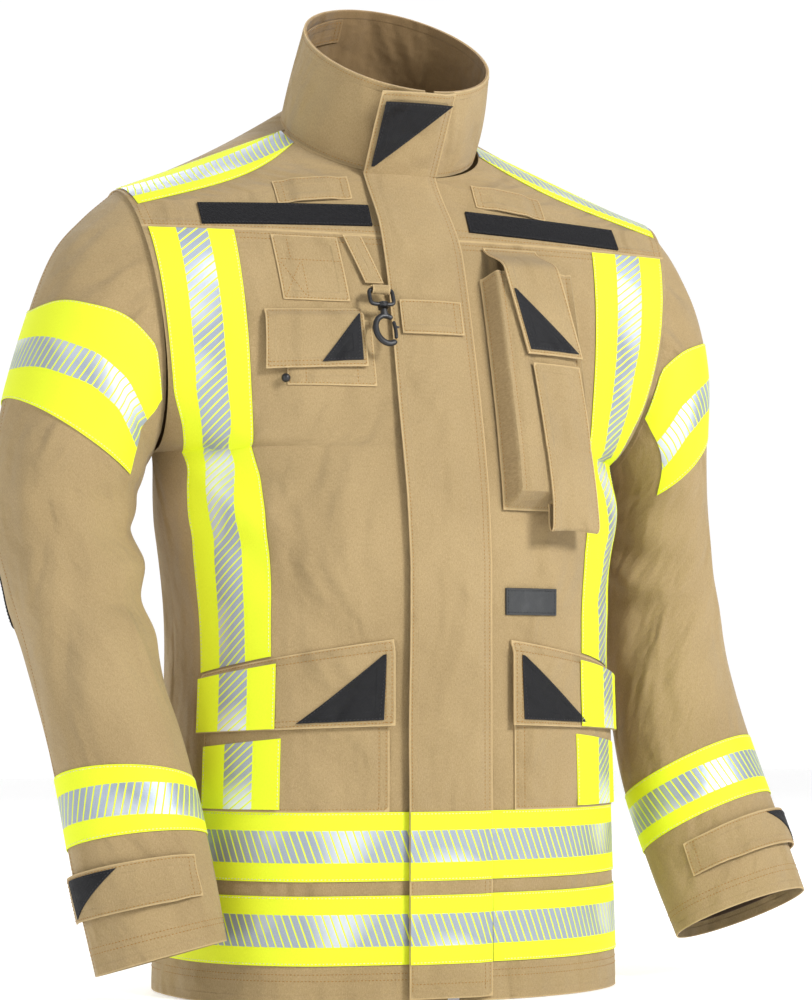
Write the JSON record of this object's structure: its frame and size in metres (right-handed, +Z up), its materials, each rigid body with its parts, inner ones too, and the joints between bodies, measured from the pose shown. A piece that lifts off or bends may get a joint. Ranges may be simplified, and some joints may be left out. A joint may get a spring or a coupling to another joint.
{
  "type": "firefighter turnout jacket",
  "caption": "Firefighter's tan turnout jacket with stand collar, storm flap, reflective bands, flapped pockets and a snap hook, standing as if worn.",
  "frame": {"origin": "under the middle of the jacket's box, at the level of the hem it stands on", "axes": "+Z up, chest facing -Y, the wearer's left arm on +X"},
  "size_m": [0.7934, 0.3484, 0.9578],
  "materials": {
    "shell_cloth": "woven aramid twill, matt",
    "lining_cloth": "quilted lining, matt",
    "reflective_tape": "fluorescent tape with silver retroreflective segments",
    "black_patch": "black coated cloth, matt",
    "hook_tape": "woven hook tape with a fuzzy surface",
    "hook_plastic": "moulded, satin",
    "zip_metal": "brushed",
    "zip_tape": "woven tape with metal teeth",
    "label_rubber": "moulded, matt"
  },
  "bodies": {
    "garment": {"right_front_panel": "shell_cloth", "left_front_panel": "shell_cloth", "back_panel": "shell_cloth", "right_front_yoke": "shell_cloth", "left_front_yoke": "shell_cloth", "back_yoke": "shell_cloth", "right_sleeve": "shell_cloth", "left_sleeve": "shell_cloth", "collar_shell": "shell_cloth", "right_mic_loop": "shell_cloth", "left_mic_loop": "shell_cloth", "right_lower_pocket": "shell_cloth", "left_lower_pocket": "shell_cloth", "chest_pocket": "shell_cloth", "pen_patch": "shell_cloth", "radio_pocket": "shell_cloth", "radio_strap": "shell_cloth", "storm_flap_upper": "shell_cloth", "storm_flap_tab": "shell_cloth", "hook_strap": "shell_cloth", "collar_lining": "lining_cloth", "body_liner": "lining_cloth", "right_sleeve_liner": "lining_cloth", "left_sleeve_liner": "lining_cloth", "hem_band_upper": "reflective_tape", "hem_band_lower": "reflective_tape", "right_vertical_tape": "reflective_tape", "left_vertical_tape": "reflective_tape", "right_shoulder_tape": "reflective_tape", "left_shoulder_tape": "reflective_tape", "right_upper_arm_band": "reflective_tape", "left_upper_arm_band": "reflective_tape", "right_forearm_band": "reflective_tape", "left_forearm_band": "reflective_tape", "storm_flap_grip": "black_patch", "right_elbow_patch": "black_patch", "left_elbow_patch": "black_patch", "right_chest_hook_strip": "hook_tape", "left_chest_hook_strip": "hook_tape", "flap_loop_strip": "hook_tape", "zip_tape_right": "zip_tape", "zip_tape_left": "zip_tape", "rubber_label": "label_rubber"},
    "storm_flap_foot": {"storm_flap_lower": "shell_cloth", "storm_flap_band_upper": "reflective_tape", "storm_flap_band_lower": "reflective_tape", "flap_hook_strip": "hook_tape"},
    "chest_flap": {"chest_pocket_flap": "shell_cloth"},
    "radio_cover": {"radio_flap": "shell_cloth"},
    "right_pocket_cover": {"right_lower_flap": "shell_cloth", "right_flap_tape": "reflective_tape"},
    "left_pocket_cover": {"left_lower_flap": "shell_cloth", "left_flap_tape": "reflective_tape"},
    "right_cuff_tab": {"right_cuff_strap": "shell_cloth"},
    "left_cuff_tab": {"left_cuff_strap": "shell_cloth"},
    "hook_frame": {"hook_eye": "hook_plastic"},
    "hook": {"hook_body": "hook_plastic"},
    "gate": {"hook_gate": "hook_plastic"},
    "slider": {"zip_slider": "zip_metal", "zip_pull_tab": "zip_metal"}
  },
  "joints": [
    {"name": "storm_flap_lift", "type": "hinge", "parent": "garment", "child": "storm_flap_foot", "pos_m": [0.0319, -0.1552, 0.2], "axis": [0, 0, 1], "range_deg": [0, 110]},
    {"name": "chest_flap_lift", "type": "hinge", "parent": "garment", "child": "chest_flap", "pos_m": [-0.1268, -0.105, 0.63245], "axis": [-0.9963, 0.0778, -0.0362], "range_deg": [0, 140]},
    {"name": "radio_flap_lift", "type": "hinge", "parent": "garment", "child": "radio_cover", "pos_m": [0.0809, -0.0855, 0.7015], "axis": [-0.9992, -0.0409, -0.0008], "range_deg": [0, 110]},
    {"name": "right_pocket_flap_lift", "type": "hinge", "parent": "garment", "child": "right_pocket_cover", "pos_m": [-0.1557, -0.1237, 0.312], "axis": [-0.814, 0.5543, -0.1738], "range_deg": [0, 75]},
    {"name": "left_pocket_flap_lift", "type": "hinge", "parent": "garment", "child": "left_pocket_cover", "pos_m": [0.1411, -0.1237, 0.312], "axis": [-0.814, -0.5543, 0.1738], "range_deg": [0, 75]},
    {"name": "right_cuff_tab_peel", "type": "hinge", "parent": "garment", "child": "right_cuff_tab", "pos_m": [-0.2444, -0.1406, 0.1205], "axis": [-0.1459, 0.1554, 0.977], "range_deg": [0, 80]},
    {"name": "left_cuff_tab_peel", "type": "hinge", "parent": "garment", "child": "left_cuff_tab", "pos_m": [0.2686, -0.0858, 0.1177], "axis": [0.1806, -0.3318, -0.9259], "range_deg": [0, 80]},
    {"name": "hook_swing", "type": "hinge", "parent": "garment", "child": "hook_frame", "pos_m": [-0.0643, -0.1138, 0.652], "axis": [-1, 0, 0], "range_deg": [0, 100]},
    {"name": "hook_swivel", "type": "hinge", "parent": "hook_frame", "child": "hook", "pos_m": [-0.0643, -0.1138, 0.652], "axis": [0, -0.4067, -0.9136], "range_deg": [-15, 15]},
    {"name": "hook_gate_press", "type": "hinge", "parent": "hook", "child": "gate", "pos_m": [-0.0568, -0.1345, 0.6056], "axis": [0, -0.9136, 0.4067], "range_deg": [0, 25], "stiffness_Nm_per_rad": 0.01, "springref_deg": -8.59},
    {"name": "zip_slide", "type": "slide", "parent": "garment", "child": "slider", "axis": [0, 0, 1], "range_m": [0, 0.345]}
  ]
}
